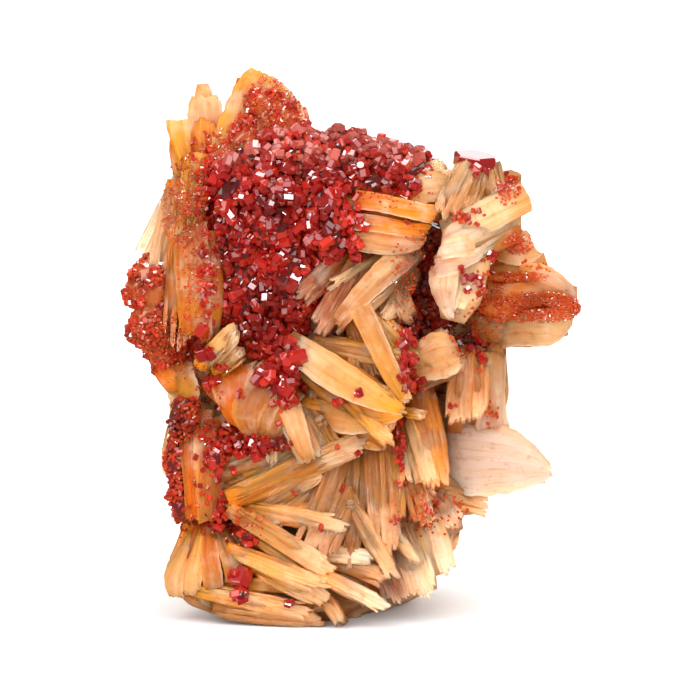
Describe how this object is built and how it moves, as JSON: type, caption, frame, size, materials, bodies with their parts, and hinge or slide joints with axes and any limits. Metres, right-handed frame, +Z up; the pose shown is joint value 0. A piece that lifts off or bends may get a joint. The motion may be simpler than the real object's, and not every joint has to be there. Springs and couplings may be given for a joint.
{
  "type": "vanadinite on barite matrix mineral specimen",
  "caption": "Hand-sized mineral specimen: sheaves of cream and orange barite blades with crusts of small red hexagonal vanadinite crystals, cut flat where it rests.",
  "frame": {"origin": "on the flat cut that it rests on, below the middle of the show face", "axes": "+Z up from the surface it rests on, -Y out of the show face, +X to the right as the show face is looked at"},
  "size_m": [0.0832, 0.0597, 0.0981],
  "materials": {
    "barite": "satin cream to orange blades with a pearly cleavage",
    "vanadinite": "glossy deep red crystals"
  },
  "bodies": {
    "root": {"barite_matrix": "barite", "vanadinite_main_crust": "vanadinite", "vanadinite_left_crust": "vanadinite", "vanadinite_edge_band": "vanadinite", "vanadinite_cleft_crust": "vanadinite", "vanadinite_arm_crust": "vanadinite", "vanadinite_boss_crust": "vanadinite", "vanadinite_root_cluster": "vanadinite", "vanadinite_foot_cluster": "vanadinite", "vanadinite_middle_cluster": "vanadinite", "vanadinite_crown_tablet": "vanadinite"}
  },
  "joints": []
}
